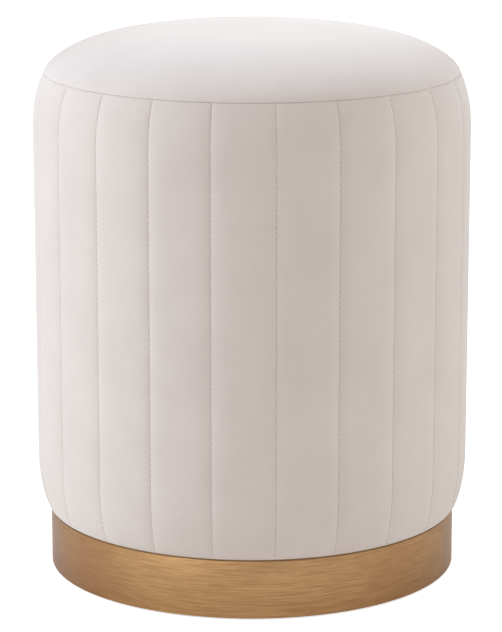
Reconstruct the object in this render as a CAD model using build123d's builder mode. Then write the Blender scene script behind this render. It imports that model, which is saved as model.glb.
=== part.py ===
from build123d import *
import os
from math import cos, degrees, radians, sin

# Round upholstered stool: a channel-quilted velvet drum with a crowned seat, on a plinth
# wrapped in a metal band. Millimetres, +Z up, origin at floor level on the drum's axis.
# The front is -Y. The cover's closing seam and the band's joint are at the back, +Y.

# Outside of the upholstery
stool_height = 487.5
drum_diameter = 390.0
crown_rise = 37.3
top_seam_inset = 10.0
shoulder_height = 50.5
shoulder_power = 2.55
crown_power = 4.17
crown_root = 0.7335
hem_inset = 10.8
hem_roll = 46.0
hem_power = 1.6
channel_count = 22
channel_puff = 1.3
channel_end_puff = 0.4
channel_fade = 40.0

# Soft layers
cover_thickness = 1.5
cover_margin_width = 6.5
wadding_thickness = 6.0
seat_foam_edge = 40.0
side_foam_thickness = 11.8
soft_clearance = 0.7

# Plinth, band, dust cover and glides
band_setback = 11.4
band_thickness = 0.8
band_glue = 0.3
band_top_reveal = 1.4
band_floor_gap = 1.2
band_joint = 0.6
plinth_layer = 25.0
plinth_width = 36.8
dust_cover_thickness = 0.4
dust_cover_margin = 5.5
glide_count = 4
glide_diameter = 22.0
glide_height = 3.8
glide_chamfer = 0.8
glide_inset = 25.8

# Frame
board_thickness = 15.0
shell_thickness = 3.0
shell_fit = 0.2
shell_joint = 1.0
post_count = 6
post_width = 40.0
post_depth = 30.0
post_inset = 2.0

# Wood screws, boards to posts
screw_diameter = 4.0
screw_head_diameter = 8.0
screw_head_height = 2.4
screw_length = 50.0
screw_spread = 20.0
screw_inset = 4.0

# Bolts, washers and tee nuts, plinth to drum
bolt_diameter = 6.0
bolt_head_diameter = 10.5
bolt_head_height = 4.0
bolt_inset = 8.0
bolt_end_inset = 2.0
bolt_hole_clearance = 0.5
bolt_counterbore_depth = 8.0
bolt_counterbore_clearance = 1.0
washer_diameter = 12.0
washer_thickness = 1.2
tee_nut_flange_diameter = 18.0
tee_nut_flange_thickness = 1.5
tee_nut_barrel_diameter = 8.0
tee_nut_barrel_length = 9.0

# Staples, glide nails and band pins
staple_crown = 10.0
staple_wire = 1.2
staple_crown_thickness = 0.6
staple_leg = 10.0
cover_staples_per_channel = 2
cover_staple_clearance = 3.7
shell_staple_count = 18
dust_staple_count = 24
dust_staple_clearance = 1.5
nail_diameter = 2.0
nail_head_diameter = 6.0
nail_head_height = 1.0
nail_head_cover = 1.0
nail_length = 13.0
pin_diameter = 1.4
pin_head_diameter = 3.2
pin_head_height = 0.6
pin_length = 12.0
pin_spread = 9.0

# Heights, from the floor up
plinth_bottom = glide_height + dust_cover_thickness
plinth_middle = plinth_bottom + plinth_layer
plinth_top = plinth_middle + plinth_layer
hem_roll_top = plinth_top + hem_roll
bottom_board_under = plinth_top + cover_thickness
bottom_board_top = bottom_board_under + board_thickness
top_seam_height = stool_height - crown_rise
seat_board_top = top_seam_height - seat_foam_edge
seat_board_under = seat_board_top - board_thickness
shoulder_start = top_seam_height - shoulder_height
washer_top = plinth_bottom + bolt_counterbore_depth
bolt_seat = washer_top - washer_thickness
bolt_end = bottom_board_top - bolt_end_inset

# Radii, from the outside in
drum_radius = drum_diameter / 2
top_seam_radius = drum_radius - top_seam_inset
hem_radius = drum_radius - hem_inset
shell_outer = drum_radius - channel_puff - cover_thickness - 2 * soft_clearance - side_foam_thickness
shell_inner = shell_outer - shell_thickness
board_radius = shell_inner - shell_fit
cover_staple_radius = shell_outer - staple_leg - cover_staple_clearance
margin_radius = cover_staple_radius - cover_margin_width
post_radius = board_radius - post_inset - post_depth / 2
screw_radius = post_radius - screw_inset
band_radius = drum_radius - band_setback
band_inner = band_radius - band_thickness
plinth_radius = band_inner - band_glue
plinth_inner = plinth_radius - plinth_width
bolt_radius = plinth_inner + bolt_inset
bolt_hole = (bolt_diameter + bolt_hole_clearance) / 2
bolt_counterbore = (washer_diameter + bolt_counterbore_clearance) / 2
glide_radius = plinth_radius - glide_inset
dust_staple_radius = glide_radius + glide_diameter / 2 + dust_staple_clearance
dust_cover_radius = dust_staple_radius + dust_cover_margin

# Angles round the axis, in degrees
front_angle = -90.0
back_angle = 90.0
channel_angle = 360 / channel_count
post_angle = 360 / post_count
bolt_start_angle = post_angle / 2
glide_start_angle = 180 / glide_count
dust_staple_start_angle = 180 / dust_staple_count
pin_half_angle = degrees(pin_spread / 2 / band_radius)

# Where the profiles are sectioned, as shares of the hem roll, shoulder and seat radius
hem_shares = (0.0, 0.03, 0.07, 0.12, 0.2, 0.3, 0.45, 0.65, 1.0)
shoulder_shares = (0.0, 0.25, 0.45, 0.6, 0.72, 0.82, 0.91, 1.0)
crown_shares = (1.0, 0.99, 0.96, 0.9, 0.82, 0.72, 0.6, 0.45, 0.25, 0.0)

# How a bar or a disc stands on its plane: centred, and above it or below it
standing = (Align.CENTER, Align.CENTER, Align.MIN)
hanging = (Align.CENTER, Align.CENTER, Align.MAX)


def side_radius(height):
    """Radius over the channel crests, between the hem and the top seam."""
    if height < hem_roll_top:
        share = (height - plinth_top) / hem_roll
        return hem_radius + hem_inset * (1 - (1 - share) ** hem_power) ** (1 / hem_power)
    if height > shoulder_start:
        share = (height - shoulder_start) / shoulder_height
        return drum_radius - top_seam_inset * share**shoulder_power
    return drum_radius


def seam_radius(height):
    """Radius along the channel seams, where the channels flatten at the hem and the top seam."""
    to_end = min(height - plinth_top, top_seam_height - height)
    share = min(1.0, to_end / channel_fade)
    fullness = share * (2 - share)
    return side_radius(height) - channel_end_puff - (channel_puff - channel_end_puff) * fullness


def section_heights(low, high):
    """Both given heights, and the sectioned heights of the side that lie between them."""
    heights = [plinth_top + share * hem_roll for share in hem_shares]
    heights += [shoulder_start + share * shoulder_height for share in shoulder_shares]
    return [low] + [height for height in heights if low + 1 < height < high - 1] + [high]


def side_profile(low, high, inset):
    """Points up the side, drawn in from the channel seams by an inset."""
    return [(seam_radius(height) - inset, height) for height in section_heights(low, high)]


def crown_profile(inset):
    """Points on the seat from its edge to its middle, drawn in all over by an inset."""
    edge = top_seam_radius - inset
    rise = crown_rise - inset
    return [
        (edge * share, top_seam_height + rise * (1 - share**crown_power) ** crown_root)
        for share in crown_shares
    ]


def polar_point(radius, angle):
    """A point at a radius and an angle round the axis."""
    return (radius * cos(radians(angle)), radius * sin(radians(angle)))


def radial_plane(radius, angle, height):
    """A plane that faces outwards, with its Y up."""
    return Plane(
        origin=(*polar_point(radius, angle), height),
        x_dir=(*polar_point(1, angle + 90), 0),
        z_dir=(*polar_point(1, angle), 0),
    )


os.makedirs("parts", exist_ok=True)

# Fasteners come first, because the pieces that they pass through are cut by them

# Nails moulded into the glides
with BuildPart() as glide_nails:
    with Locations((0, 0, nail_head_cover)):
        with PolarLocations(glide_radius, glide_count, glide_start_angle):
            Cylinder(nail_head_diameter / 2, nail_head_height, align=standing)
            Cylinder(nail_diameter / 2, nail_length, align=standing)
glide_nails.part.label = "glide_nails"
export_step(glide_nails.part, "parts/glide_nails.step")

# Staples through the dust cover into the lower plinth ring
with BuildPart() as dust_cover_staples:
    with Locations((0, 0, glide_height - staple_crown_thickness)):
        with PolarLocations(dust_staple_radius, dust_staple_count, dust_staple_start_angle):
            Box(staple_wire, staple_crown, staple_crown_thickness, align=standing)
            with GridLocations(0, staple_crown - staple_wire, 1, 2):
                Box(staple_wire, staple_wire, staple_leg, align=standing)
dust_cover_staples.part.label = "dust_cover_staples"
export_step(dust_cover_staples.part, "parts/dust_cover_staples.step")

# Brads on both sides of the band's joint, a pair into each plinth ring
pin_places = [
    radial_plane(band_radius, back_angle + side * pin_half_angle, layer_bottom + plinth_layer / 2)
    for layer_bottom in (plinth_bottom, plinth_middle)
    for side in (-1, 1)
]
with BuildPart() as band_pins:
    with Locations(pin_places):
        Cylinder(pin_head_diameter / 2, pin_head_height, align=standing)
        Cylinder(pin_diameter / 2, pin_length, align=hanging)
band_pins.part.label = "band_pins"
export_step(band_pins.part, "parts/band_pins.step")

# Bolts up through the plinth, with their heads in counterbores behind the dust cover
with BuildPart() as plinth_bolts:
    with Locations((0, 0, bolt_seat)):
        with PolarLocations(bolt_radius, post_count, bolt_start_angle):
            Cylinder(bolt_head_diameter / 2, bolt_head_height, align=hanging)
            Cylinder(bolt_diameter / 2, bolt_end - bolt_seat, align=standing)
plinth_bolts.part.label = "plinth_bolts"
export_step(plinth_bolts.part, "parts/plinth_bolts.step")

with BuildPart() as plinth_washers:
    with BuildSketch(Plane.XY.offset(bolt_seat)):
        with PolarLocations(bolt_radius, post_count, bolt_start_angle):
            Circle(washer_diameter / 2)
            Circle(bolt_hole, mode=Mode.SUBTRACT)
    extrude(amount=washer_thickness)
plinth_washers.part.label = "plinth_washers"
export_step(plinth_washers.part, "parts/plinth_washers.step")

# Tee nuts pressed into the top of the bottom board
with BuildPart() as tee_nuts:
    with Locations((0, 0, bottom_board_top)):
        with PolarLocations(bolt_radius, post_count, bolt_start_angle):
            Cylinder(tee_nut_flange_diameter / 2, tee_nut_flange_thickness, align=standing)
            Cylinder(tee_nut_barrel_diameter / 2, tee_nut_barrel_length, align=hanging)
            Hole(bolt_diameter / 2)
tee_nuts.part.label = "tee_nuts"
export_step(tee_nuts.part, "parts/tee_nuts.step")

# Countersunk screws, two up into each post and two down
with BuildPart() as bottom_screws:
    with Locations((0, 0, bottom_board_under)):
        with PolarLocations(screw_radius, post_count):
            with GridLocations(0, screw_spread, 1, 2):
                Cone(screw_head_diameter / 2, screw_diameter / 2, screw_head_height, align=standing)
                Cylinder(screw_diameter / 2, screw_length, align=standing)
bottom_screws.part.label = "bottom_screws"
export_step(bottom_screws.part, "parts/bottom_screws.step")

with BuildPart() as seat_screws:
    with Locations((0, 0, seat_board_top)):
        with PolarLocations(screw_radius, post_count):
            with GridLocations(0, screw_spread, 1, 2):
                Cone(screw_diameter / 2, screw_head_diameter / 2, screw_head_height, align=hanging)
                Cylinder(screw_diameter / 2, screw_length, align=hanging)
seat_screws.part.label = "seat_screws"
export_step(seat_screws.part, "parts/seat_screws.step")

# Staples driven flush through the shell into the edges of both boards
shell_staple_places = [
    radial_plane(shell_outer, index * 360 / shell_staple_count, board_under + board_thickness / 2)
    for board_under in (bottom_board_under, seat_board_under)
    for index in range(shell_staple_count)
]
with BuildPart() as shell_staples:
    with Locations(shell_staple_places):
        Box(staple_wire, staple_crown, staple_crown_thickness, align=hanging)
        with GridLocations(0, staple_crown - staple_wire, 1, 2):
            Box(staple_wire, staple_wire, staple_leg, align=hanging)
shell_staples.part.label = "shell_staples"
export_step(shell_staples.part, "parts/shell_staples.step")

# Staples sunk into the cover's turned-under margin, spaced with the channels
with BuildPart() as cover_staples:
    with Locations((0, 0, plinth_top)):
        with PolarLocations(cover_staple_radius, cover_staples_per_channel * channel_count, front_angle):
            Box(staple_wire, staple_crown, staple_crown_thickness, align=standing)
            with GridLocations(0, staple_crown - staple_wire, 1, 2):
                Box(staple_wire, staple_wire, staple_leg, align=standing)
cover_staples.part.label = "cover_staples"
export_step(cover_staples.part, "parts/cover_staples.step")

# Glides: low plastic feet, the only pieces that touch the floor
for index in range(glide_count):
    glide_angle = glide_start_angle + index * 360 / glide_count
    with BuildPart() as glide:
        with BuildSketch():
            with Locations(polar_point(glide_radius, glide_angle)):
                Circle(glide_diameter / 2)
        extrude(amount=glide_height)
        chamfer(glide.faces().sort_by(Axis.Z)[0].edges(), glide_chamfer)
        add(glide_nails.part, mode=Mode.SUBTRACT)
    glide.part.label = f"glide_{index + 1}"
    export_step(glide.part, f"parts/glide_{index + 1}.step")

# Dust cover: a thin sheet that closes the underside
with BuildPart() as dust_cover:
    with BuildSketch(Plane.XY.offset(glide_height)):
        Circle(dust_cover_radius)
    extrude(amount=dust_cover_thickness)
    add([dust_cover_staples.part, glide_nails.part], mode=Mode.SUBTRACT)
dust_cover.part.label = "dust_cover"
export_step(dust_cover.part, "parts/dust_cover.step")

# Plinth: two glued rings
with BuildPart() as plinth_ring_lower:
    with BuildSketch(Plane.XY.offset(plinth_bottom)):
        Circle(plinth_radius)
        Circle(plinth_inner, mode=Mode.SUBTRACT)
        with PolarLocations(bolt_radius, post_count, bolt_start_angle):
            Circle(bolt_hole, mode=Mode.SUBTRACT)
    extrude(amount=plinth_layer)
    with BuildSketch(Plane.XY.offset(plinth_bottom)):
        with PolarLocations(bolt_radius, post_count, bolt_start_angle):
            Circle(bolt_counterbore)
    extrude(amount=bolt_counterbore_depth, mode=Mode.SUBTRACT)
    add([dust_cover_staples.part, glide_nails.part, band_pins.part], mode=Mode.SUBTRACT)
plinth_ring_lower.part.label = "plinth_ring_lower"
export_step(plinth_ring_lower.part, "parts/plinth_ring_lower.step")

with BuildPart() as plinth_ring_upper:
    with BuildSketch(Plane.XY.offset(plinth_middle)):
        Circle(plinth_radius)
        Circle(plinth_inner, mode=Mode.SUBTRACT)
        with PolarLocations(bolt_radius, post_count, bolt_start_angle):
            Circle(bolt_hole, mode=Mode.SUBTRACT)
    extrude(amount=plinth_layer)
    add(band_pins.part, mode=Mode.SUBTRACT)
plinth_ring_upper.part.label = "plinth_ring_upper"
export_step(plinth_ring_upper.part, "parts/plinth_ring_upper.step")

# Band: sheet metal glued round the plinth, butted and pinned at the back
with BuildPart() as base_band:
    with BuildSketch(Plane.XY.offset(band_floor_gap)):
        Circle(band_radius)
        Circle(band_inner, mode=Mode.SUBTRACT)
        with Locations((0, band_radius)):
            Rectangle(band_joint, 4 * band_thickness, mode=Mode.SUBTRACT)
    extrude(amount=plinth_top - band_top_reveal - band_floor_gap)
    add(band_pins.part, mode=Mode.SUBTRACT)
base_band.part.label = "base_band"
export_step(base_band.part, "parts/base_band.step")

# Boards: the two ends of the drum
with BuildPart() as bottom_board:
    with BuildSketch(Plane.XY.offset(bottom_board_under)):
        Circle(board_radius)
    extrude(amount=board_thickness)
    with Locations((0, 0, bottom_board_top)):
        with PolarLocations(bolt_radius, post_count, bolt_start_angle):
            CounterBoreHole(bolt_hole, tee_nut_barrel_diameter / 2, tee_nut_barrel_length)
    add([bottom_screws.part, shell_staples.part, cover_staples.part], mode=Mode.SUBTRACT)
bottom_board.part.label = "bottom_board"
export_step(bottom_board.part, "parts/bottom_board.step")

with BuildPart() as seat_board:
    with BuildSketch(Plane.XY.offset(seat_board_under)):
        Circle(board_radius)
    extrude(amount=board_thickness)
    add([seat_screws.part, shell_staples.part], mode=Mode.SUBTRACT)
seat_board.part.label = "seat_board"
export_step(seat_board.part, "parts/seat_board.step")

# Posts between the boards
for index in range(post_count):
    post_plane = Plane.XY.offset(bottom_board_top).rotated((0, 0, index * post_angle))
    with BuildPart() as post:
        with BuildSketch(post_plane):
            with Locations((post_radius, 0)):
                Rectangle(post_depth, post_width)
        extrude(amount=seat_board_under - bottom_board_top)
        add([bottom_screws.part, seat_screws.part], mode=Mode.SUBTRACT)
    post.part.label = f"post_{index + 1}"
    export_step(post.part, f"parts/post_{index + 1}.step")

# Shell: hardboard bent round the boards, with its joint at the back
with BuildPart() as side_shell:
    with BuildSketch(Plane.XY.offset(bottom_board_under)):
        Circle(shell_outer)
        Circle(shell_inner, mode=Mode.SUBTRACT)
        with Locations((0, shell_outer)):
            Rectangle(shell_joint, 4 * shell_thickness, mode=Mode.SUBTRACT)
    extrude(amount=seat_board_top - bottom_board_under)
    add(shell_staples.part, mode=Mode.SUBTRACT)
side_shell.part.label = "side_shell"
export_step(side_shell.part, "parts/side_shell.step")

# Side foam: wrapped on the shell, thinner where the hem draws in
with BuildPart() as side_foam:
    foam_inset = cover_thickness + soft_clearance
    foam_inner = shell_outer + soft_clearance
    with BuildSketch(Plane.XZ):
        with BuildLine():
            face = Polyline(side_profile(bottom_board_under + soft_clearance, seat_board_top, foam_inset))
            Polyline(face @ 1, (foam_inner, (face @ 1).Y), (foam_inner, (face @ 0).Y), face @ 0)
        make_face()
    revolve(axis=Axis.Z)
side_foam.part.label = "side_foam"
export_step(side_foam.part, "parts/side_foam.step")

# Seat foam: drawn in at the shoulder, stepped for the wadding's edge, and crowned
wadding_inset = cover_thickness + soft_clearance
seat_foam_inset = wadding_inset + wadding_thickness + soft_clearance
with BuildPart() as seat_foam:
    with BuildSketch(Plane.XZ):
        with BuildLine():
            shoulder = Polyline(side_profile(seat_board_top, top_seam_height, foam_inset))
            crown = Spline(crown_profile(seat_foam_inset))
            Line(shoulder @ 1, crown @ 0)
            Polyline(crown @ 1, (0, seat_board_top), shoulder @ 0)
        make_face()
    revolve(axis=Axis.Z)
seat_foam.part.label = "seat_foam"
export_step(seat_foam.part, "parts/seat_foam.step")

# Seat wadding: a domed layer that ends at the top seam
with BuildPart() as seat_wadding:
    with BuildSketch(Plane.XZ):
        with BuildLine():
            outside = Spline(crown_profile(wadding_inset))
            inside = Spline(crown_profile(wadding_inset + wadding_thickness))
            Line(outside @ 0, inside @ 0)
            Line(outside @ 1, inside @ 1)
        make_face()
    revolve(axis=Axis.Z)
seat_wadding.part.label = "seat_wadding"
export_step(seat_wadding.part, "parts/seat_wadding.step")

# Top cover: the crowned seat panel
with BuildPart() as top_cover:
    with BuildSketch(Plane.XZ):
        with BuildLine():
            outside = Spline(crown_profile(0))
            inside = Spline(crown_profile(cover_thickness))
            Line(outside @ 0, inside @ 0)
            Line(outside @ 1, inside @ 1)
        make_face()
    revolve(axis=Axis.Z)
top_cover.part.label = "top_cover"
export_step(top_cover.part, "parts/top_cover.step")

# Side cover: a quilted panel, each channel an arc from seam to seam, turned under at the hem
with BuildPart() as side_cover:
    for height in section_heights(plinth_top, top_seam_height):
        crest = side_radius(height)
        valley = seam_radius(height)
        with BuildSketch(Plane.XY.offset(height)):
            with BuildLine():
                for index in range(channel_count):
                    seam_angle = front_angle + index * channel_angle
                    ThreePointArc(
                        polar_point(valley, seam_angle),
                        polar_point(crest, seam_angle + channel_angle / 2),
                        polar_point(valley, seam_angle + channel_angle),
                    )
            make_face()
    loft(ruled=True)
    with BuildSketch(Plane.XZ):
        with BuildLine():
            lining = Polyline(side_profile(bottom_board_under, top_seam_height, cover_thickness))
            Polyline(lining @ 1, (0, top_seam_height), (0, bottom_board_under), lining @ 0)
        make_face()
    revolve(axis=Axis.Z, mode=Mode.SUBTRACT)
    with BuildSketch(Plane.XY.offset(plinth_top)):
        Circle(margin_radius)
        with PolarLocations(bolt_radius, post_count, bolt_start_angle):
            Circle(bolt_hole)
    extrude(amount=cover_thickness, mode=Mode.SUBTRACT)
    add(cover_staples.part, mode=Mode.SUBTRACT)
side_cover.part.label = "side_cover"
export_step(side_cover.part, "parts/side_cover.step")
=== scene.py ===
import math
import random
import bpy
import numpy as np
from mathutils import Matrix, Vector


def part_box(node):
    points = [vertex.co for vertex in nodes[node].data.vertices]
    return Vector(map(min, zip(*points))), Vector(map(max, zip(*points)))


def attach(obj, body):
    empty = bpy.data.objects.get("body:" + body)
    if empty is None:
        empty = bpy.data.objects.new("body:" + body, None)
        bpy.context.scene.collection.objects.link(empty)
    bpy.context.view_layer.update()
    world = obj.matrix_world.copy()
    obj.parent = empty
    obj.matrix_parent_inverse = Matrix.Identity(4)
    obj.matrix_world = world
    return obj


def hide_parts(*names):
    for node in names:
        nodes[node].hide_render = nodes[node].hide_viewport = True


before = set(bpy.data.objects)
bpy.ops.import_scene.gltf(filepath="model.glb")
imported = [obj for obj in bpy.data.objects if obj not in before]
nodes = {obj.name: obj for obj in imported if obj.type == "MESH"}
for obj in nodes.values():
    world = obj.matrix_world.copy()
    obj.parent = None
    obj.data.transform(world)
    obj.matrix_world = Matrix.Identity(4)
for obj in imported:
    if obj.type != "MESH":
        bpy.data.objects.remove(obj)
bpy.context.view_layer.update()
scene = bpy.context.scene
print("frame loaded:", len(nodes), "nodes")

# Sizes that the frame gives, in metres
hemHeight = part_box("side_cover")[0].z
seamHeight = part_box("side_cover")[1].z
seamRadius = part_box("top_cover")[1].x
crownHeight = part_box("top_cover")[1].z
bandLow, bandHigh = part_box("base_band")
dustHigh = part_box("dust_cover")[1]

# Sizes that the covers share
drum = {
    "radius": 0.195,
    "channels": 22,
    "firstSeam": math.radians(-90),
}

# How near counts as on a seam, in its groove or on its lip, in radians, and at an end or an edge, in metres
near = {"seam": 0.001, "groove": 0.0005, "lip": 0.005, "end": 0.0005, "edge": 0.0001, "same": 0.00001}

# The least that anything is divided by, and the angle up to which faces are shaded as one surface
smallest = 1e-9
smoothAngle = math.radians(40)


def deselectAll():
    if bpy.context.object and bpy.context.object.mode != "OBJECT":
        bpy.ops.object.mode_set(mode="OBJECT")
    bpy.ops.object.select_all(action="DESELECT")


def selectOnly(piece):
    deselectAll()
    piece.select_set(True)
    bpy.context.view_layer.objects.active = piece


def editAll(piece, selectMode="VERT"):
    selectOnly(piece)
    bpy.ops.object.mode_set(mode="EDIT")
    bpy.ops.mesh.select_mode(type=selectMode)
    bpy.ops.mesh.select_all(action="SELECT")


def leaveEdit():
    bpy.ops.object.mode_set(mode="OBJECT")


# Every vertex of a piece as rows of x, y, z
def readPlaces(piece):
    places = np.empty(len(piece.data.vertices) * 3)
    piece.data.vertices.foreach_get("co", places)
    return places.reshape(-1, 3)


def writePlaces(piece, places):
    piece.data.vertices.foreach_set("co", places.ravel())
    piece.data.update()


def applyModifier(piece, kind, **settings):
    selectOnly(piece)
    modifier = piece.modifiers.new(kind.lower(), kind)
    for name, value in settings.items():
        setattr(modifier, name, value)
    bpy.ops.object.modifier_apply(modifier=modifier.name)


# Rings of one radius and height each, every ring extruded from the one before
def ringStack(name, rings, columns):
    deselectAll()
    radius, height = rings[0]
    bpy.ops.mesh.primitive_circle_add(vertices=columns, radius=radius)
    piece = bpy.context.object
    piece.name = name
    piece.data.name = name
    editAll(piece)
    bpy.ops.transform.translate(value=(0, 0, height))
    for nextRadius, nextHeight in rings[1:]:
        bpy.ops.mesh.extrude_region_move(TRANSFORM_OT_translate={"value": (0, 0, nextHeight - height)})
        grow = nextRadius / radius
        bpy.ops.transform.resize(value=(grow, grow, 1), center_override=(0, 0, nextHeight))
        radius, height = nextRadius, nextHeight
    leaveEdit()
    return piece


# Rings that come back to their start get the last row of faces
def bridgeOpenRings(piece):
    editAll(piece, "EDGE")
    bpy.ops.mesh.select_all(action="DESELECT")
    bpy.ops.mesh.select_non_manifold()
    bpy.ops.mesh.bridge_edge_loops()
    leaveEdit()


def facesOutward(piece):
    editAll(piece)
    bpy.ops.mesh.remove_doubles(threshold=near["same"])
    bpy.ops.mesh.normals_make_consistent(inside=False)
    leaveEdit()


def finishPiece(piece, material, slot, *replaced):
    selectOnly(piece)
    bpy.ops.object.shade_smooth_by_angle(angle=smoothAngle)
    piece.data.materials.clear()
    piece.data.materials.append(material)
    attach(piece, "root")
    if replaced:
        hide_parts(*replaced)
    print("finished", piece.name, len(piece.data.polygons), "faces")


# Pressure from inside swells the cloth between the places where it is held, out along one direction and no
# further than the limit
def swellCloth(piece, held, outward, limit, padding):
    start = readPlaces(piece)
    group = piece.vertex_groups.new(name="held")
    group.add([int(index) for index in held], 1.0, "REPLACE")
    cloth = piece.modifiers.new("padding", "CLOTH")
    cloth.settings.quality = padding["quality"]
    cloth.settings.mass = padding["mass"]
    cloth.settings.tension_stiffness = padding["stiffness"]
    cloth.settings.compression_stiffness = padding["stiffness"]
    cloth.settings.shear_stiffness = padding["shear"]
    cloth.settings.bending_stiffness = padding["bending"]
    cloth.settings.use_pressure = True
    cloth.settings.uniform_pressure_force = padding["pressure"]
    cloth.settings.vertex_group_mass = "held"
    cloth.settings.effector_weights.gravity = 0
    cloth.point_cache.frame_start = 1
    cloth.point_cache.frame_end = padding["frames"]
    for step in range(1, padding["frames"] + 1):
        scene.frame_set(step)
    selectOnly(piece)
    bpy.ops.object.modifier_apply(modifier="padding")
    scene.frame_set(1)
    piece.vertex_groups.clear()
    swell = np.maximum(((readPlaces(piece) - start) * outward).sum(axis=1), 0)
    print("cloth moved", round(swell.max() * 1000, 2), "mm at most, before the limit")
    swell = limit * np.tanh(swell / np.maximum(limit, smallest))
    writePlaces(piece, start + outward * swell[:, None])


# Angle from each place to the nearest channel seam, and the channel's number
def channelOf(places):
    step = 2 * math.pi / drum["channels"]
    turn = (np.arctan2(places[:, 1], places[:, 0]) - drum["firstSeam"]) / step
    number = np.floor(turn)
    inside = turn - number
    return np.minimum(inside, 1 - inside) * step, number.astype(int) % drum["channels"]


# sRGB hex text to the linear values that sockets take
def linearColour(text):
    parts = [int(text[i:i + 2], 16) / 255 for i in (1, 3, 5)]
    linear = [p / 12.92 if p <= 0.04045 else ((p + 0.055) / 1.055) ** 2.4 for p in parts]
    return (*linear, 1.0)


# A texture's scale for a pattern of so many millimetres
def scaleFor(millimetres):
    return 1000 / millimetres


# One node with its settings, and what feeds each socket
def addNode(tree, kind, feeds=None, **settings):
    node = tree.nodes.new(kind)
    for name, value in settings.items():
        setattr(node, name, value)
    for socket, value in (feeds or {}).items():
        if isinstance(value, bpy.types.NodeSocket):
            tree.links.new(value, node.inputs[socket])
        else:
            node.inputs[socket].default_value = value
    return node


def startMaterial(name, **sockets):
    material = bpy.data.materials.new(name)
    material.use_nodes = True
    tree = material.node_tree
    shader = tree.nodes["Principled BSDF"]
    for socket, value in sockets.items():
        shader.inputs[socket.replace("_", " ")].default_value = value
    place = addNode(tree, "ShaderNodeTexCoord").outputs["Object"]
    return material, tree, shader, place


# Ivory upholstery velvet, cut pile on a woven back: soft, matt, and paler where the pile is seen edge on
velvet = {
    "pale": "#E1D9D4",
    "deep": "#DAD1CC",
    "napPatch": 55,
    "pile": 0.9,
    "pileHeight": 0.00012,
    "toneRange": (0.12, 0.38),
    "roughness": 0.9,
    "specular": 0.2,
    "sheen": 1.0,
    "sheenRoughness": 0.4,
    "sheenTint": "#FFFBF7",
}


def makeVelvet():
    material, tree, shader, place = startMaterial(
        "ivoryVelvet",
        Roughness=velvet["roughness"],
        Sheen_Weight=velvet["sheen"],
        Sheen_Roughness=velvet["sheenRoughness"],
        Sheen_Tint=linearColour(velvet["sheenTint"]),
        Specular_IOR_Level=velvet["specular"],
    )
    nap = addNode(tree, "ShaderNodeTexNoise", {
        "Vector": place, "Scale": scaleFor(velvet["napPatch"]), "Detail": 3.0, "Roughness": 0.6,
    })
    # the pile is finer than this, and is drawn coarse enough to show
    pile = addNode(tree, "ShaderNodeTexNoise", {
        "Vector": place, "Scale": scaleFor(velvet["pile"]), "Detail": 2.0, "Roughness": 0.7,
    })
    blend = addNode(tree, "ShaderNodeMath", {
        0: nap.outputs["Fac"], 1: pile.outputs["Fac"],
    }, operation="MULTIPLY")
    low, high = velvet["toneRange"]
    spread = addNode(tree, "ShaderNodeMapRange", {
        "Value": blend.outputs[0], "From Min": low, "From Max": high,
    })
    tone = addNode(tree, "ShaderNodeMix", {
        0: spread.outputs["Result"], 6: linearColour(velvet["deep"]), 7: linearColour(velvet["pale"]),
    }, data_type="RGBA")
    tree.links.new(tone.outputs[2], shader.inputs["Base Color"])
    bump = addNode(tree, "ShaderNodeBump", {
        "Height": pile.outputs["Fac"], "Strength": 0.5, "Distance": velvet["pileHeight"],
    })
    tree.links.new(bump.outputs["Normal"], shader.inputs["Normal"])
    return material


# Polyester sewing thread, two plies twisted: darker than the pile round it, partly as its own tone and
# partly as painted shade for the seam crease, and shinier. The real twist is about 0.5 mm, and is drawn
# coarser so that it shows
thread = {"colour": "#C2B8B0", "dark": "#ABA098", "twist": 1.4, "twistDepth": 0.0001, "roughness": 0.55}


def makeThread():
    material, tree, shader, place = startMaterial("polyesterThread", Roughness=thread["roughness"])
    # a diagonal wave comes round every fifth of pi
    ply = addNode(tree, "ShaderNodeTexWave", {
        "Vector": place, "Scale": math.pi / 5 * scaleFor(thread["twist"]), "Distortion": 1.0,
    }, bands_direction="DIAGONAL")
    tone = addNode(tree, "ShaderNodeMix", {
        0: ply.outputs["Fac"], 6: linearColour(thread["dark"]), 7: linearColour(thread["colour"]),
    }, data_type="RGBA")
    tree.links.new(tone.outputs[2], shader.inputs["Base Color"])
    bump = addNode(tree, "ShaderNodeBump", {
        "Height": ply.outputs["Fac"], "Strength": 0.4, "Distance": thread["twistDepth"],
    })
    tree.links.new(bump.outputs["Normal"], shader.inputs["Normal"])
    return material


# Sheet metal with a brushed antique gold finish: warm, satin, with fine streaks that run round the base
gold = {
    "bright": "#BE996B",
    "dull": "#9C7853",
    "ruddyPaintedShade": "#986E4D",
    "edge": "#DDE3EC",
    "streakLength": 28,
    "streakWidth": 0.85,
    "toneRange": (0.34, 0.67),
    # large clouds vary the tone at random, and are also shifted into place as painted reflection: the gold
    # is left lightest where its reflection is brightest, as a painted highlight, and turns darker and
    # ruddier elsewhere, as painted shade
    "cloudSize": 110,
    "paintedShadeShift": (0.0, 0.0, 0.39),
    "paintedShadeRange": (0.4, 0.7),
    "paintedShadeAmount": 0.6,
    "roughnessRange": (0.3, 0.7),
    "roughness": 0.38,
    "roughnessSpread": 0.12,
    "streakDepth": 0.00004,
}


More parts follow.
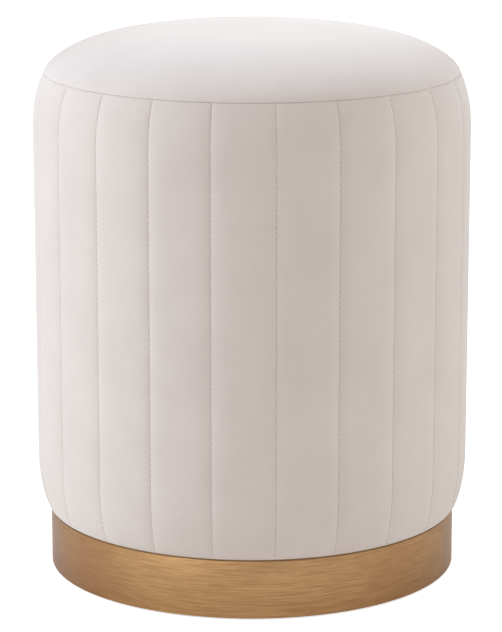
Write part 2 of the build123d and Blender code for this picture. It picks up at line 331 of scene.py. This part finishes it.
def makeGold():
    material, tree, shader, place = startMaterial(
        "brushedAntiqueGold", Metallic=1.0, Specular_Tint=linearColour(gold["edge"]),
    )
    long, fine = scaleFor(gold["streakLength"]), scaleFor(gold["streakWidth"])
    stretched = addNode(tree, "ShaderNodeMapping", {"Vector": place, "Scale": (long, long, fine)})
    streaks = addNode(tree, "ShaderNodeTexNoise", {
        "Vector": stretched.outputs["Vector"], "Scale": 1.0, "Detail": 4.0, "Roughness": 0.65,
    })
    # cloudy patches shifted into place: a painted highlight where they leave the gold light, painted shade
    # where they darken it towards the ruddy tone
    shifted = addNode(tree, "ShaderNodeMapping", {"Vector": place, "Location": gold["paintedShadeShift"]})
    clouds = addNode(tree, "ShaderNodeTexNoise", {
        "Vector": shifted.outputs["Vector"], "Scale": scaleFor(gold["cloudSize"]),
        "Detail": 6.0, "Roughness": 0.62,
    })
    low, high = gold["toneRange"]
    spread = addNode(tree, "ShaderNodeMapRange", {
        "Value": streaks.outputs["Fac"], "From Min": low, "From Max": high,
    })
    brushed = addNode(tree, "ShaderNodeMix", {
        0: spread.outputs["Result"], 6: linearColour(gold["dull"]), 7: linearColour(gold["bright"]),
    }, data_type="RGBA")
    low, high = gold["paintedShadeRange"]
    paintedShadePatches = addNode(tree, "ShaderNodeMapRange", {
        "Value": clouds.outputs["Fac"], "From Min": low, "From Max": high, "To Max": gold["paintedShadeAmount"],
    })
    tone = addNode(tree, "ShaderNodeMix", {
        0: paintedShadePatches.outputs["Result"], 6: brushed.outputs[2], 7: linearColour(gold["ruddyPaintedShade"]),
    }, data_type="RGBA")
    tree.links.new(tone.outputs[2], shader.inputs["Base Color"])
    half = gold["roughnessSpread"] / 2
    low, high = gold["roughnessRange"]
    rough = addNode(tree, "ShaderNodeMapRange", {
        "Value": streaks.outputs["Fac"], "From Min": low, "From Max": high,
        "To Min": gold["roughness"] - half, "To Max": gold["roughness"] + half,
    })
    tree.links.new(rough.outputs["Result"], shader.inputs["Roughness"])
    bump = addNode(tree, "ShaderNodeBump", {
        "Height": streaks.outputs["Fac"], "Strength": 0.6, "Distance": gold["streakDepth"],
    })
    tree.links.new(bump.outputs["Normal"], shader.inputs["Normal"])
    return material


# The part of a noise's run that takes one tone to the other
grainRange = (0.35, 0.65)


# A surface of two tones mixed by a stretched noise, with a bump from the same noise
def makeGrained(name, look, **sockets):
    material, tree, shader, place = startMaterial(name, Roughness=look["roughness"], **sockets)
    size = [scaleFor(s) for s in look["grain"]]
    stretched = addNode(tree, "ShaderNodeMapping", {"Vector": place, "Scale": size})
    grain = addNode(tree, "ShaderNodeTexNoise", {
        "Vector": stretched.outputs["Vector"], "Scale": 1.0, "Detail": 4.0, "Roughness": 0.6,
    })
    spread = addNode(tree, "ShaderNodeMapRange", {
        "Value": grain.outputs["Fac"], "From Min": grainRange[0], "From Max": grainRange[1],
    })
    tone = addNode(tree, "ShaderNodeMix", {
        0: spread.outputs["Result"], 6: linearColour(look["dark"]), 7: linearColour(look["pale"]),
    }, data_type="RGBA")
    tree.links.new(tone.outputs[2], shader.inputs["Base Color"])
    bump = addNode(tree, "ShaderNodeBump", {
        "Height": grain.outputs["Fac"], "Strength": 0.5, "Distance": look["depth"],
    })
    tree.links.new(bump.outputs["Normal"], shader.inputs["Normal"])
    return material


# Side cover: one tube of velvet sewn into upright channels over foam, turned in at the top seam and under at
# the hem
sideCover = {
    "columnsPerChannel": 8,
    "hemRadius": 0.1842,
    "hemRoll": 0.046,
    "hemPower": 1.6,
    "hemRows": 14,
    "straightRows": 34,
    "shoulder": 0.0505,
    "shoulderPower": 2.55,
    "shoulderRows": 12,
    "puff": 0.0014,
    "puffPower": 4,
    "hemPuff": 0.0004,
    "hemFade": 0.040,
    "topPuff": 0.0009,
    "topFade": 0.020,
    "topFull": 0.025,
    "puffSpread": 0.12,
    "clothThickness": 0.0015,
    "liningInset": 0.0014,
    "tuckDepth": 0.0014,
    "tuckDrop": 0.0004,
    "marginRadius": 0.1588,
    "innerRows": 14,
    "seamHalfWidth": 0.0006,
    "seamDepth": 0.0004,
    "gather": 0.0009,
    "gatherReach": 0.018,
    "seed": 7,
    "fill": 0.7,
}
sidePadding = {
    "pressure": 700.0, "frames": 20, "quality": 5, "mass": 0.3,
    "stiffness": 6.0, "shear": 2.0, "bending": 0.5,
}


# Radius of the channels' crests at a height
def crestRadius(height):
    rise = (height - hemHeight) / sideCover["hemRoll"]
    if rise < 1:
        power = sideCover["hemPower"]
        swell = (1 - (1 - max(rise, 0)) ** power) ** (1 / power)
        return sideCover["hemRadius"] + (drum["radius"] - sideCover["hemRadius"]) * swell
    drop = (height - seamHeight) / sideCover["shoulder"] + 1
    inset = drum["radius"] - seamRadius
    return drum["radius"] - inset * max(drop, 0) ** sideCover["shoulderPower"]


# How far the channels stand out from their seams at a height
def puffDepth(height):
    full = sideCover["puff"]
    fromHem = min(1, (height - hemHeight) / sideCover["hemFade"])
    fromTop = min(1, (seamHeight - height) / sideCover["topFade"])
    atHem = sideCover["hemPuff"] + (full - sideCover["hemPuff"]) * fromHem * (2 - fromHem)
    atTop = sideCover["topPuff"] + (full - sideCover["topPuff"]) * fromTop * (2 - fromTop)
    return min(atHem, atTop)


def outerHeights():
    hemTop = hemHeight + sideCover["hemRoll"]
    shoulderStart = seamHeight - sideCover["shoulder"]
    heights = [hemHeight + sideCover["hemRoll"] * (i / sideCover["hemRows"]) ** 2
               for i in range(sideCover["hemRows"])]
    heights += list(np.linspace(hemTop, shoulderStart, sideCover["straightRows"], endpoint=False))
    heights += list(np.linspace(shoulderStart, seamHeight, sideCover["shoulderRows"]))
    return heights


def makeSideCover(material):
    heights = outerHeights()
    rings = [(crestRadius(h) - puffDepth(h), h) for h in heights]
    outerCount = len(rings)
    topRadius = rings[-1][0]
    wall = sideCover["clothThickness"]
    tuck, drop = sideCover["tuckDepth"], sideCover["tuckDrop"]
    rings += [
        (topRadius - tuck * 0.5, seamHeight - drop * 0.1),
        (topRadius - tuck, seamHeight - drop * 0.5),
        (topRadius - tuck - wall, seamHeight - drop),
    ]
    underTop = seamHeight - drop - wall
    aboveMargin = hemHeight + wall
    for height in np.linspace(underTop, aboveMargin + wall, sideCover["innerRows"]):
        rings.append((crestRadius(height) - puffDepth(height) - sideCover["liningInset"], height))
    rings += [
        (sideCover["hemRadius"] - 3 * wall, aboveMargin),
        (sideCover["marginRadius"], aboveMargin),
        (sideCover["marginRadius"], hemHeight),
        (sideCover["hemRadius"] - 2 * wall, hemHeight),
    ]
    columns = drum["channels"] * sideCover["columnsPerChannel"]
    piece = ringStack("sideCover", rings, columns)
    bridgeOpenRings(piece)
    facesOutward(piece)

    # held along the seams, at both ends and on everything inside
    places = readPlaces(piece)
    radii = np.hypot(places[:, 0], places[:, 1])
    angle, number = channelOf(places)
    valley = np.array([crestRadius(h) - puffDepth(h) for h in places[:, 2]])
    inner = radii < valley - wall / 2
    onSeam = angle < near["seam"]
    ends = (places[:, 2] > seamHeight - near["end"]) | (places[:, 2] < hemHeight + near["end"])
    held = np.nonzero(inner | onSeam | ends)[0]
    draw = random.Random(sideCover["seed"])
    fullness = np.array([1 - sideCover["puffSpread"] * draw.random() for _ in range(drum["channels"])])
    limit = np.array([puffDepth(h) for h in places[:, 2]]) * fullness[number]
    outward = places * (1, 1, 0) / radii[:, None]
    halfStep = math.pi / drum["channels"]
    full = limit * (1 - (1 - angle / halfStep) ** sideCover["puffPower"]) * ~inner
    swellCloth(piece, held, outward, limit, sidePadding)

    # the channels stay full up to the top seam, so their tops are scalloped
    swell = ((readPlaces(piece) - places) * outward).sum(axis=1)
    nearTop = np.clip(1 - (seamHeight - places[:, 2]) / sideCover["topFull"], 0, 1) * ~inner
    swell += (full - swell) * nearTop
    writePlaces(piece, places + outward * swell[:, None])

    # the stitched line along each seam is drawn in as a narrow groove
    selectOnly(piece)
    onSeam = channelOf(readPlaces(piece))[0] < near["seam"]
    for edge in piece.data.edges:
        edge.select = bool(onSeam[edge.vertices[0]] and onSeam[edge.vertices[1]])
    for vertex in piece.data.vertices:
        vertex.select = bool(onSeam[vertex.index])
    for face in piece.data.polygons:
        face.select = False
    bpy.ops.object.mode_set(mode="EDIT")
    bpy.ops.mesh.select_mode(type="EDGE")
    bpy.ops.mesh.bevel(offset=sideCover["seamHalfWidth"], segments=2, affect="EDGES")
    leaveEdit()
    places = readPlaces(piece)
    radii = np.hypot(places[:, 0], places[:, 1])
    angle, number = channelOf(places)
    valley = np.array([crestRadius(h) - puffDepth(h) for h in places[:, 2]])
    outside = radii > valley - wall / 2
    groove = (angle < near["groove"]) & outside & (places[:, 2] > hemHeight + near["end"])
    groove &= (places[:, 2] < seamHeight - near["edge"]) | (radii > valley - near["edge"])
    outward = places * (1, 1, 0) / radii[:, None]
    drawnIn = groove * sideCover["seamDepth"]

    # under the top seam the cloth gathers into a small lip beside each seam, each a little different
    lip = (angle < near["lip"]) & ~groove & outside
    reach = np.clip(1 - (seamHeight - places[:, 2]) / sideCover["gatherReach"], 0, 1)
    pulls = np.array([draw.random() for _ in range(drum["channels"])])
    drawnIn = drawnIn - lip * reach * (1 - reach) * 4 * sideCover["gather"] * pulls[number]
    writePlaces(piece, places - outward * drawnIn[:, None])
    crease = piece.data.attributes.new("crease_edge", "FLOAT", "EDGE")
    for edge in piece.data.edges:
        if groove[edge.vertices[0]] and groove[edge.vertices[1]]:
            crease.data[edge.index].value = 1.0
    applyModifier(piece, "SUBSURF", levels=1, render_levels=1)
    finishPiece(piece, material, "ivory_velvet", "side_cover")


# Seat cover: one round of velvet crowned over the seat foam, its rim tucked into the top seam
seatCover = {
    "columns": 176,
    "crownPower": 4.17,
    "crownRoot": 0.7335,
    "crownRings": 20,
    "rimCrowding": 2.2,
    "flatRadius": 0.060,
    "swell": 0.0015,
    "swellFade": 0.040,
    "heldRim": 0.0002,
    "lipDrop": 0.00015,
    "tuckDepth": 0.002,
    "clothThickness": 0.0015,
    "seamDip": 0.0008,
    "dipWidth": 0.006,
    "dipReach": 0.010,
    "fill": 0.75,
}
seatPadding = {
    "pressure": 4.0, "frames": 20, "quality": 5, "mass": 0.3,
    "stiffness": 15.0, "shear": 5.0, "bending": 5.0,
}


def crownAt(radius, rise):
    out = min(radius, seamRadius) / seamRadius
    share = (1 - out ** seatCover["crownPower"]) ** seatCover["crownRoot"]
    return seamHeight + rise * share


def makeSeatCover(material):
    rise = crownHeight - seamHeight - seatCover["swell"]
    tuck = seatCover["tuckDepth"]
    rings = [
        (seamRadius - tuck, seamHeight - seatCover["lipDrop"] * 0.5),
        (seamRadius - tuck * 0.4, seamHeight + seatCover["lipDrop"] * 0.2),
    ]
    # rings crowd together towards the rim, where the crown turns over
    for i in range(seatCover["crownRings"]):
        t = 1 - i / (seatCover["crownRings"] - 1)
        out = 1 - (1 - t) ** seatCover["rimCrowding"]
        radius = seatCover["flatRadius"] + (seamRadius - seatCover["flatRadius"]) * out
        rings.append((radius, crownAt(radius, rise) + seatCover["lipDrop"]))
    piece = ringStack("seatCover", rings, seatCover["columns"])
    editAll(piece, "EDGE")
    bpy.ops.mesh.select_all(action="DESELECT")
    leaveEdit()
    places = readPlaces(piece)
    radii = np.hypot(places[:, 0], places[:, 1])
    for edge in piece.data.edges:
        farther = max(radii[edge.vertices[0]], radii[edge.vertices[1]])
        edge.select = bool(farther < seatCover["flatRadius"] + near["same"])
    bpy.ops.object.mode_set(mode="EDIT")
    bpy.ops.mesh.fill_grid(span=seatCover["columns"] // 4)
    leaveEdit()
    facesOutward(piece)
    places = readPlaces(piece)
    radii = np.hypot(places[:, 0], places[:, 1])
    middle = radii < seatCover["flatRadius"] - near["same"]
    places[middle, 2] = [crownAt(r, rise) + seatCover["lipDrop"] for r in radii[middle]]
    writePlaces(piece, places)
    held = np.nonzero(radii > seamRadius - seatCover["heldRim"])[0]
    held = np.concatenate([held, np.nonzero(places[:, 2] < seamHeight + seatCover["lipDrop"])[0]])
    edgeShare = np.clip((seamRadius - radii) / seatCover["swellFade"], 0, 1)
    limit = seatCover["swell"] * edgeShare * (2 - edgeShare)
    upward = np.tile((0.0, 0.0, 1.0), (len(places), 1))
    swellCloth(piece, held, upward, limit, seatPadding)

    # small dips in the rim where the channel seams run into it
    places = readPlaces(piece)
    radii = np.hypot(places[:, 0], places[:, 1])
    angle = channelOf(places)[0]
    nearRim = np.clip(1 - (seamRadius - radii) / seatCover["dipReach"], 0, 1)
    dip = seatCover["seamDip"] * nearRim ** 2 * np.exp(-(angle * radii / seatCover["dipWidth"]) ** 2)
    outward = places * (1, 1, 0) / np.maximum(radii, smallest)[:, None]
    writePlaces(piece, places - outward * dip[:, None])
    applyModifier(piece, "SUBSURF", levels=1, render_levels=1)
    applyModifier(piece, "SOLIDIFY", thickness=seatCover["clothThickness"], offset=-1)
    finishPiece(piece, material, "ivory_velvet", "top_cover")


# Channel stitching: one row of stitches lies in each groove
stitching = {
    "stitchLength": 0.0028,
    "stitchPitch": 0.0048,
    "threadRadius": 0.00028,
    "sides": 6,
    "endGirth": 0.4,
    "runs": ((0.15, 0.88), (0.35, 1.0), (0.35, 0.88), (0.15, 0.396)),
    "linePoints": 40,
    "sinkBelow": 0.0003,
    "hemClear": 0.004,
    "topClear": 0.0005,
}


def makeStitching(material):
    # one stitch: a short thread, thin at both ends where it goes into the cloth
    deselectAll()
    radius, length = stitching["threadRadius"], stitching["stitchLength"]
    bpy.ops.mesh.primitive_circle_add(vertices=stitching["sides"], radius=radius, fill_type="NGON",
                                      rotation=(0, math.radians(90), 0))
    bpy.ops.object.transform_apply(location=False, rotation=True, scale=False)
    row = bpy.context.object
    row.name = "channelStitching"
    row.data.name = "channelStitching"
    editAll(row, "FACE")
    girth = stitching["endGirth"]
    bpy.ops.transform.resize(value=(1, girth, girth), center_override=(0, 0, 0))
    for share, nextGirth in stitching["runs"]:
        bpy.ops.mesh.extrude_region_move(TRANSFORM_OT_translate={"value": (length * share, 0, 0)})
        grow = nextGirth / girth
        bpy.ops.transform.resize(value=(1, grow, grow))
        girth = nextGirth
    leaveEdit()
    facesOutward(row)

    # the line that the seam follows, from hem to top seam, in the plane of the front seam
    low, high = hemHeight + stitching["hemClear"], seamHeight - stitching["topClear"]
    heights = np.linspace(low, high, stitching["linePoints"])
    points = [(crestRadius(h) - puffDepth(h) - stitching["sinkBelow"], h) for h in heights]
    line = bpy.data.curves.new("seamLine", "CURVE")
    line.dimensions = "3D"
    spline = line.splines.new("POLY")
    spline.points.add(len(points) - 1)
    for point, (radius, height) in zip(spline.points, points):
        point.co = (0, -radius, height, 1)
    path = bpy.data.objects.new("seamLine", line)
    scene.collection.objects.link(path)
    applyModifier(row, "ARRAY", fit_type="FIT_CURVE", curve=path, use_relative_offset=False,
                  use_constant_offset=True, constant_offset_displace=(stitching["stitchPitch"], 0, 0))
    applyModifier(row, "CURVE", object=path, deform_axis="POS_X")
    bpy.data.objects.remove(path)
    copies = [row]
    for number in range(1, drum["channels"]):
        selectOnly(row)
        bpy.ops.object.duplicate()
        copy = bpy.context.object
        copy.rotation_euler = (0, 0, 2 * math.pi * number / drum["channels"])
        bpy.ops.object.transform_apply(location=False, rotation=True, scale=False)
        copies.append(copy)
    deselectAll()
    for copy in copies:
        copy.select_set(True)
    bpy.context.view_layer.objects.active = row
    bpy.ops.object.join()
    finishPiece(row, material, "ivory_velvet")


# Base band: a thin strip rolled round the plinth, its ends meeting at the back
band = {"thickness": 0.0008, "joint": 0.0006, "edgeRound": 0.0003, "steps": 240}


def makeBand(material):
    deselectAll()
    middle = bandHigh.x - band["thickness"] / 2
    height = bandHigh.z - bandLow.z
    bpy.ops.mesh.primitive_plane_add(size=1, rotation=(math.radians(90), 0, math.radians(90)))
    piece = bpy.context.object
    piece.name = "brushedBand"
    piece.data.name = "brushedBand"
    piece.scale = (band["thickness"], height, 1)
    bpy.ops.object.transform_apply(location=False, rotation=True, scale=True)
    editAll(piece)
    bpy.ops.mesh.bevel(offset=band["edgeRound"], segments=2, affect="VERTICES")
    bpy.ops.mesh.select_all(action="SELECT")
    bpy.ops.transform.translate(value=(0, middle, (bandLow.z + bandHigh.z) / 2))
    gap = band["joint"] / middle
    bpy.ops.transform.rotate(value=gap / 2, orient_axis="Z", center_override=(0, 0, 0))
    bpy.ops.mesh.spin(steps=band["steps"], angle=2 * math.pi - gap, center=(0, 0, 0), axis=(0, 0, 1))
    leaveEdit()
    facesOutward(piece)
    finishPiece(piece, material, "brushed_gold", "base_band")


# Dust cover: a round of black non-woven stapled under the plinth, hanging a little between its staples
dust = {
    "columns": 96,
    "thickness": 0.0003,
    "underRing": 0.0001,
    "ringInner": 0.1457,
    "sag": 0.0012,
    "pucker": 0.0003,
    "staples": 24,
}


def makeDustSheet(material):
    deselectAll()
    radius = dustHigh.x
    bpy.ops.mesh.primitive_circle_add(vertices=dust["columns"], radius=radius)
    piece = bpy.context.object
    piece.name = "dustSheet"
    piece.data.name = "dustSheet"
    editAll(piece)
    bpy.ops.transform.translate(value=(0, 0, dustHigh.z - dust["underRing"]))
    bpy.ops.mesh.fill_grid(span=dust["columns"] // 4)
    bpy.ops.mesh.select_all(action="SELECT")
    bpy.ops.mesh.subdivide(number_cuts=1)
    leaveEdit()
    facesOutward(piece)
    places = readPlaces(piece)
    radii = np.hypot(places[:, 0], places[:, 1])
    hang = np.clip(1 - (radii / dust["ringInner"]) ** 2, 0, 1) * dust["sag"]
    # the ripple grows from half way out, one wave to each staple
    around = 0.5 + 0.5 * np.cos(np.arctan2(places[:, 1], places[:, 0]) * dust["staples"])
    ripple = dust["pucker"] * np.clip(2 * radii / radius - 1, 0, 1) * around
    places[:, 2] -= hang + ripple * (radii < dust["ringInner"])
    writePlaces(piece, places)
    applyModifier(piece, "SOLIDIFY", thickness=dust["thickness"], offset=-1)
    facesOutward(piece)
    finishPiece(piece, material, "black_nonwoven", "dust_cover")


velvetMaterial = makeVelvet()
makeSideCover(velvetMaterial)
makeSeatCover(velvetMaterial)
makeStitching(makeThread())
makeBand(makeGold())

# Spunbond polypropylene: black, matt, pressed with small dimples
nonwoven = {
    "pale": "#2A2A2B", "dark": "#141415", "grain": (1.2, 1.2, 1.2), "roughness": 0.95, "depth": 0.0002,
}
makeDustSheet(makeGrained("blackNonwoven", nonwoven))

# What each carried-over piece is made of, as its surface was left by the workshop
finishes = {
    # medium density fibreboard, sawn: even brown with fine fibres
    "sawnFibreboard": {
        "pale": "#B99A72", "dark": "#9A7B56", "grain": (0.8, 0.8, 0.8), "roughness": 0.85, "depth": 0.0001,
        "nodes": ("plinth_ring_lower", "plinth_ring_upper"),
    },
    # birch plywood: pale, with long grain on the faces
    "birchPlywood": {
        "pale": "#DDC093", "dark": "#BE9763", "grain": (40, 3, 1.4), "roughness": 0.7, "depth": 0.0001,
        "nodes": ("bottom_board", "seat_board"),
    },
    # planed spruce: straight grain along the post
    "planedSpruce": {
        "pale": "#E3C796", "dark": "#C49A61", "grain": (3, 3, 60), "roughness": 0.65, "depth": 0.0001,
        "nodes": ("post_1", "post_2", "post_3", "post_4", "post_5", "post_6"),
    },
    # pressed hardboard: dark brown, fibrous
    "pressedHardboard": {
        "pale": "#7A573A", "dark": "#583A24", "grain": (1.5, 1.5, 1.5), "roughness": 0.8, "depth": 0.0001,
        "nodes": ("side_shell",),
    },
    # cut polyurethane foam: cream, open cells
    "cutFoam": {
        "pale": "#EFE6C8", "dark": "#D5C79C", "grain": (1.2, 1.2, 1.2), "roughness": 0.95, "depth": 0.0004,
        "nodes": ("side_foam", "seat_foam"),
    },
    # polyester wadding: white, fluffy
    "polyesterWadding": {
        "pale": "#F4F3EF", "dark": "#DCDAD3", "grain": (4, 4, 1), "roughness": 0.95, "depth": 0.0006,
        "nodes": ("seat_wadding",),
    },
    # moulded nylon: black, fine satin texture
    "mouldedNylon": {
        "pale": "#262626", "dark": "#151515", "grain": (0.5, 0.5, 0.5), "roughness": 0.5, "depth": 0.00005,
        "nodes": ("glide_1", "glide_2", "glide_3", "glide_4"),
    },
    # zinc plated steel: cool grey, slightly clouded
    "zincPlatedSteel": {
        "pale": "#C6C9CB", "dark": "#9EA3A7", "grain": (2, 2, 2), "roughness": 0.38, "depth": 0.00003,
        "nodes": (
            "plinth_bolts", "plinth_washers", "tee_nuts", "bottom_screws", "seat_screws", "glide_nails",
        ),
    },
    # galvanised staple wire: dull grey, drawn lengthwise
    "galvanisedWire": {
        "pale": "#B3B6B8", "dark": "#8C9093", "grain": (1, 1, 1), "roughness": 0.42, "depth": 0.00003,
        "nodes": ("dust_cover_staples", "shell_staples", "cover_staples"),
    },
}
metals = ("zincPlatedSteel", "galvanisedWire")
for finish, look in finishes.items():
    sockets = {"Metallic": 1.0} if finish in metals else {}
    material = makeGrained(finish, look, **sockets)
    for name in look["nodes"]:
        nodes[name].data.materials.clear()
        nodes[name].data.materials.append(material)
nodes["band_pins"].data.materials.clear()
nodes["band_pins"].data.materials.append(bpy.data.materials["brushedAntiqueGold"])
print("finishes given to the carried-over pieces")

# Camera at the photograph's angle: level distance, height, pitch and turn
camera = {
    "distance": 2.599,
    "height": 0.8444,
    "pitch": 13.39,
    "turn": -6.06,
    "aside": 0.02,
    "lens": 168.2,
    "sensor": 36,
}
deselectAll()
turn = math.radians(camera["turn"])
eye = (camera["distance"] * math.sin(turn), -camera["distance"] * math.cos(turn), camera["height"])
facing = (math.radians(90 - camera["pitch"]), 0, turn + math.radians(camera["aside"]))
bpy.ops.object.camera_add(location=eye, rotation=facing)
bpy.context.object.name = "viewCamera"
bpy.context.object.data.lens = camera["lens"]
bpy.context.object.data.sensor_width = camera["sensor"]
scene.camera = bpy.context.object

# Soft studio light: a large box at the left, a weaker one at the right and one overhead for the cloth, and a
# box at the front left that shows in the metal
lights = {
    "leftBox": {"place": (-2.1, -0.1, 1.4), "power": 35.0, "colour": "#E5F1FD", "forMetal": False},
    "rightBox": {"place": (2.0, -0.3, 1.1), "power": 12.5, "colour": "#F4FAFF", "forMetal": False},
    "topBox": {"place": (0.0, 0.9, 2.1), "power": 16.0, "colour": "#C6E2FF", "forMetal": False},
    "metalBox": {"place": (-1.5, -1.45, 1.2), "power": 18.0, "colour": "#FFFFFF", "forMetal": True},
}
boxSize = 1.6
aim = Vector((0, 0, 0.28))
for name, lamp in lights.items():
    bpy.ops.object.light_add(type="AREA", location=lamp["place"])
    light = bpy.context.object
    light.name = name
    light.rotation_euler = (aim - light.location).to_track_quat("-Z", "Y").to_euler()
    light.data.size = boxSize
    light.data.energy = lamp["power"]
    light.data.color = linearColour(lamp["colour"])[:3]
    light.visible_glossy = lamp["forMetal"]
    light.visible_diffuse = not lamp["forMetal"]

# The room is white to the eye and in the metal, and gives the cloth a lower even light
room = {
    "even": 0.568,
    "evenColour": "#FFF5EE",
    "floor": "#F3F1ED",
    "floorSize": 12,
    "floorRoughness": 0.9,
    "floorLift": 0.65,
    "glossyLift": 0.2,
}
world = bpy.data.worlds.new("studio")
scene.world = world
world.use_nodes = True
tree = world.node_tree
ray = addNode(tree, "ShaderNodeLightPath")
seen = addNode(tree, "ShaderNodeMath", {0: ray.outputs["Is Camera Ray"], 1: ray.outputs["Is Glossy Ray"]},
               operation="MAXIMUM")
seen = addNode(tree, "ShaderNodeMath", {0: seen.outputs[0], 1: ray.outputs["Is Transmission Ray"]},
               operation="MAXIMUM")
even = tree.nodes["Background"]
even.inputs["Color"].default_value = linearColour(room["evenColour"])
even.inputs["Strength"].default_value = room["even"]
backdrop = addNode(tree, "ShaderNodeBackground", {"Color": (1, 1, 1, 1), "Strength": 1.0})
both = addNode(tree, "ShaderNodeMixShader", {
    0: seen.outputs[0], 1: even.outputs["Background"], 2: backdrop.outputs["Background"],
})
tree.links.new(both.outputs["Shader"], tree.nodes["World Output"].inputs["Surface"])

bpy.ops.mesh.primitive_plane_add(size=room["floorSize"], location=(0, 0, 0))
floor = bpy.context.object
floor.name = "floor"
floorMaterial = bpy.data.materials.new("paleFloor")
floorMaterial.use_nodes = True
tree = floorMaterial.node_tree
shader = tree.nodes["Principled BSDF"]
shader.inputs["Base Color"].default_value = linearColour(room["floor"])
shader.inputs["Roughness"].default_value = room["floorRoughness"]
shader.inputs["Emission Color"].default_value = (1, 1, 1, 1)
ray = addNode(tree, "ShaderNodeLightPath")
seen = addNode(tree, "ShaderNodeMath", {
    0: ray.outputs["Is Camera Ray"], 1: ray.outputs["Is Transmission Ray"],
}, operation="MAXIMUM")
direct = addNode(tree, "ShaderNodeMath", {0: seen.outputs[0], 1: room["floorLift"]}, operation="MULTIPLY")
lift = addNode(tree, "ShaderNodeMath", {
    0: ray.outputs["Is Glossy Ray"], 1: room["glossyLift"], 2: direct.outputs[0],
}, operation="MULTIPLY_ADD")
tree.links.new(lift.outputs[0], shader.inputs["Emission Strength"])
# clear from below, so that the underside can be looked at
side = addNode(tree, "ShaderNodeNewGeometry")
clear = addNode(tree, "ShaderNodeBsdfTransparent")
eitherSide = addNode(tree, "ShaderNodeMixShader", {
    0: side.outputs["Backfacing"], 1: shader.outputs["BSDF"], 2: clear.outputs["BSDF"],
})
tree.links.new(eitherSide.outputs["Shader"], tree.nodes["Material Output"].inputs["Surface"])
floor.data.materials.append(floorMaterial)
scene.view_settings.view_transform = "Standard"
print("studio set")
